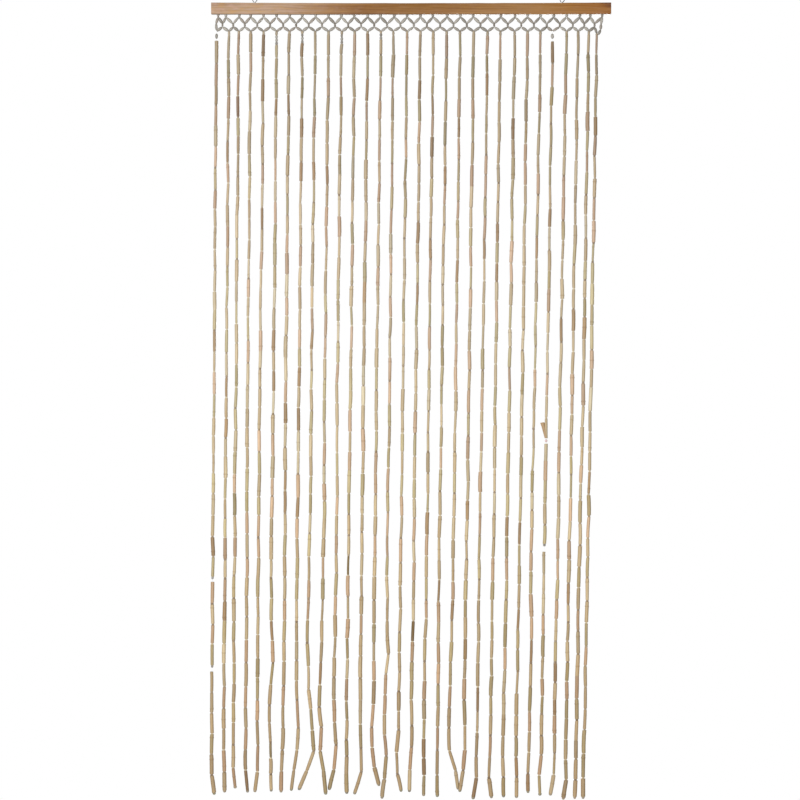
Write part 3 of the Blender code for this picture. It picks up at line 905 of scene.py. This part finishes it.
def tube_widths(number, joints):
    """The width of the tube below each joint, drawn as the solids draw it, or None for bare thread."""
    draw = random.Random(WIDTH_SEED + number)
    own = draw.uniform(-STRAND_WIDTH_SPREAD, STRAND_WIDTH_SPREAD)
    widths = []
    for _, down, _ in joints[:-1]:
        share = (down / CURTAIN_DROP) ** 2
        usual = TUBE_WIDTH + (TUBE_WIDTH_LOW - TUBE_WIDTH) * share + own
        width = min(max(draw.gauss(usual, TUBE_WIDTH_SPREAD), TUBE_WIDTHS[0]), TUBE_WIDTHS[1])
        widths.append(None if (number, round(down)) in BARE_STRETCHES else width)
    return widths


# Cane colours, and how often each comes
CANE_TINTS = (
    ((184, 161, 126), 6),  # tan
    ((179, 161, 121), 4),  # olive tan
    ((189, 157, 127), 4),  # pinkish tan
    ((191, 170, 136), 3),  # pale
    ((156, 126, 90), 1),  # brown
    ((162, 144, 102), 1),  # dark olive
    ((196, 178, 146), 1),  # cream
)
CANE_CHOICES = [tint for tint, weight in CANE_TINTS for _ in range(weight)]
LIGHTNESS_SPREAD = 0.10
# The tone of the tubes at some heights down: greyer at the top, palest in the middle, warm and dark low
HEIGHT_TONES = (
    (70.0, (0.63, 0.66, 0.70)),
    (200.0, (0.65, 0.68, 0.69)),
    (400.0, (0.84, 0.86, 0.91)),
    (710.0, (0.95, 1.02, 1.09)),
    (1070.0, (0.95, 0.98, 0.95)),
    (1410.0, (0.79, 0.77, 0.69)),
    (1670.0, (0.68, 0.635, 0.55)),
    (1790.0, (0.66, 0.61, 0.53)),
)
# A few tubes that stand out dark, by their strand and a height down that they cover, before the tone
DARK_TUBES = {
    (3, 218): (138, 106, 80),
    (6, 754): (155, 124, 90),
    (12, 1286): (122, 100, 53),
    (14, 1555): (163, 139, 106),
    (17, 1424): (114, 88, 41),
    (21, 1472): (156, 127, 85),
}


def height_tone(down):
    for (above, tone), (below, next_tone) in zip(HEIGHT_TONES, HEIGHT_TONES[1:]):
        if down <= below:
            share = max(0.0, (down - above) / (below - above))
            return [a + (b - a) * share for a, b in zip(tone, next_tone)]
    return HEIGHT_TONES[-1][1]


def toned_paint(colour, down):
    return [value * tone for value, tone in zip(paint(*colour), height_tone(down))]


def tube_colour(number, upper_down, lower_down, draw):
    """A tube's colour: drawn by chance, but for the few dark ones."""
    lightness = draw.gauss(1.0, LIGHTNESS_SPREAD)
    colour = [value * lightness for value in toned_paint(draw.choice(CANE_CHOICES), upper_down)]
    for (strand, down), dark in DARK_TUBES.items():
        if strand == number and upper_down <= down < lower_down:
            colour = toned_paint(dark, down)
    return colour


def place_bead(upper, lower, width, draw, colours, tone_down=None):
    """A bead between two points in metres; tone_down is the height whose tone its colour takes."""
    shade = draw.choice(colours)
    colour = paint(*shade) if tone_down is None else toned_paint(shade, tone_down)
    width *= draw.uniform(*STRAND_BEAD_VARIES)
    return stretch_copy(BEAD, upper, lower, width, draw.uniform(0.0, math.pi), colour)


def build_top_beads(number, strand, first, draw):
    """The beads between the net and a strand's first tube, and where that tube then starts."""
    root = at(strand.top, strand_root(number) - TOP_BEAD_RISE)
    if number in LATE_TUBES:
        half = at(0.0, -LONE_BEAD_HALF)
        lone = at(strand.top, LONE_BEAD)
        return [place_bead(lone + half, lone - half, NET_BEAD, draw, BEAD_GREYS)], first
    width, length = TOP_BEAD
    down_axis = (first - root).normalized()
    beads = [place_bead(root, first + down_axis * TOP_BEAD_LAP * MM, width, draw, BEAD_SANDS, LONE_BEAD)]
    for _ in range(BEADED_TOPS.get(number, 0)):
        foot = first - at(0.0, -length)
        beads.append(place_bead(first, foot, width, draw, BEAD_GREYS))
        first = foot
    return beads, first


def hang_loose_bead(upper, axis, draw, colours):
    width, length = LOOSE_BEAD
    return place_bead(upper, upper - axis * length * MM, width, draw, colours)


def spacer_width(kind, down, draw):
    return draw.uniform(kind.thinnest, kind.thickest) * (1.0 + SPACER_GROWTH * (down / CURTAIN_DROP) ** 2)


def build_strand(number, strand):
    """A strand's tubes, and the beads between and around them. Its thread is returned, to be joined later."""
    draw = random.Random(LOOK_SEED * 100 + number)
    joints = strand_joints(number, strand)
    downs = [down for _, down, _ in joints]
    widths = tube_widths(number, joints)
    points = [at(*joint) for joint in joints]
    beads, points[0] = build_top_beads(number, strand, points[0], draw)
    kinds = [draw.choice(SPACER_KINDS) for _ in points]
    bead_widths = [spacer_width(kind, down, draw) for kind, down in zip(kinds, downs)]
    tubes = []
    for index, (width, upper, lower) in enumerate(zip(widths, points, points[1:])):
        if width is None:
            continue
        axis = (upper - lower).normalized()
        rest_above, rest_below = (axis * bead_reach(width * BORE, bead_width) * MM
                                  for bead_width in bead_widths[index:index + 2])
        last = index == len(widths) - 1
        open_below = not last and widths[index + 1] is None
        open_above = index == 0 or widths[index - 1] is None
        slip = BARED_JOINTS.get((number, round(downs[index])), 0.0) if index else 0.0
        top = upper - axis * slip * MM if open_above or slip else upper - rest_above
        if slip:
            beads.append(hang_loose_bead(upper, axis, draw, BEAD_PINKS))
        foot = lower if open_below else lower + (axis * STOP_SHOWS * MM if last else rest_below)
        colour = tube_colour(number, downs[index], downs[index + 1], draw)
        ends = (foot, top) if draw.random() < 0.5 else (top, foot)
        tubes.append(stretch_copy(draw.choice(TUBES), *ends, width + LAST_TUBE_EXTRA * last,
                                  draw.uniform(0.0, 2 * math.pi), colour, draw.random()))
        if last:
            stop_width, stop_length = STOP_BEAD
            beads.append(place_bead(lower + axis * stop_length * MM, lower, stop_width, draw, STOP_GREYS))
        elif open_below:
            beads.append(hang_loose_bead(lower + axis * LOOSE_BEAD_LAP * MM, axis, draw, BEAD_GREYS))
        elif (number, round(downs[index + 1])) not in BARED_JOINTS:
            half = (upper - points[index + 2]).normalized() * SPACER_LENGTH / 2 * MM
            kind = kinds[index + 1]
            beads.append(place_bead(lower + half, lower - half, bead_widths[index + 1], draw, kind.colours,
                                    min(downs[index + 1], kind.tone_limit)))
    if any(number == bared for bared, _ in BARED_JOINTS):
        free_end, foot = (at(*end) for end in SLIVER_ENDS)
        brown = toned_paint(SLIVER_BROWN, SLIVER_ENDS[0][1])
        tubes.append(stretch_copy(SPLIT, free_end, foot, SLIVER_WIDTH, SLIVER_TURN, brown))
    label = f"strand_{number:02d}"
    thread = add_line("line", [at(strand.top, strand_root(number)), *points], STRAND_THREAD, NYLON)
    dress(join_pieces(tubes, label + "_tubes", BAMBOO), "tube_strands")
    dress(join_pieces(beads, label + "_beads", BEAD_PLASTIC), "tube_strands")
    return thread


# The place, the lights and the camera

ROOM_LIGHT = 0.30  # how strongly the white room lights the curtain
CURTAIN_MIDDLE = (0.0, 0.0, -0.9)  # where the lamps point, in metres
# Each lamp's place and width in metres, and its power
LAMPS = {
    "key_lamp": ((-2.5, -3.6, 0.2), 1.8, 163.0),
    "fill_lamp": ((0.9, -4.2, -1.5), 2.2, 90.0),
    "back_lamp": ((0.9, 4.2, 0.1), 2.4, 150.0),
}
CAMERA_SIGHT = 50.0  # how far the camera sees, in metres


def build_floor():
    start_primitive()
    bpy.ops.mesh.primitive_circle_add(vertices=96, radius=FLOOR_REACH * MM, fill_type="NGON",
                                      location=at(0.0, FLOOR_DOWN))
    floor = bpy.context.object
    floor.name = "floor"
    bpy.ops.object.transform_apply(location=True, rotation=True, scale=True)
    floor.data.materials.append(floor_material())


def add_lamp(name, place, width, power):
    lamp = bpy.data.lights.new(name, "AREA")
    lamp.shape = "DISK"
    lamp.size = width
    lamp.energy = power
    holder = bpy.data.objects.new(name, lamp)
    bpy.context.scene.collection.objects.link(holder)
    holder.location = place
    holder.rotation_euler = (Vector(CURTAIN_MIDDLE) - Vector(place)).to_track_quat("-Z", "Y").to_euler()


def light_room():
    """A white room: white behind the curtain, a softer white that lights it, and three large soft lamps."""
    world = bpy.data.worlds.new("white_room")
    bpy.context.scene.world = world
    world.use_nodes = True
    nodes = Wiring(world.node_tree)
    shown = world.node_tree.nodes["Background"]
    nodes.feed(shown, Color=(1.0, 1.0, 1.0, 1.0), Strength=1.0)
    lit = nodes.add("ShaderNodeBackground")
    nodes.feed(lit, Color=(1.0, 1.0, 1.0, 1.0), Strength=ROOM_LIGHT)
    path = nodes.add("ShaderNodeLightPath")
    mixed = nodes.add("ShaderNodeMixShader")
    nodes.feed(mixed, _0=path.outputs["Is Camera Ray"], _1=lit.outputs[0], _2=shown.outputs[0])
    nodes.join(mixed.outputs[0], world.node_tree.nodes["World Output"].inputs["Surface"])
    for name, (place, width, power) in LAMPS.items():
        add_lamp(name, place, width, power)
    bpy.context.scene.view_settings.view_transform = "Standard"


def place_camera():
    distance = PICTURE_WIDTH * CAMERA_LENS / CAMERA_SENSOR
    camera = bpy.data.cameras.new("camera")
    camera.lens = CAMERA_LENS
    camera.sensor_width = CAMERA_SENSOR
    camera.clip_end = CAMERA_SIGHT
    holder = bpy.data.objects.new("camera", camera)
    bpy.context.scene.collection.objects.link(holder)
    holder.location = at(PICTURE_ACROSS, PICTURE_DOWN, PICTURE_DEPTH - distance)
    holder.rotation_euler = (math.radians(90.0), 0.0, 0.0)
    bpy.context.scene.camera = holder


def build():
    place_camera()
    light_room()
    build_floor()
    build_rail()
    for node, across in EYE_PLACES.items():
        build_eye(node, across)
    build_net()
    threads = [build_strand(number, strand) for number, strand in enumerate(STRANDS, 1)]
    dress(join_pieces(threads, "strand_threads", NYLON), "tube_strands")
    for form in [*set(TUBES), BEAD, SPLIT]:
        bpy.data.objects.remove(form, do_unlink=True)


build()
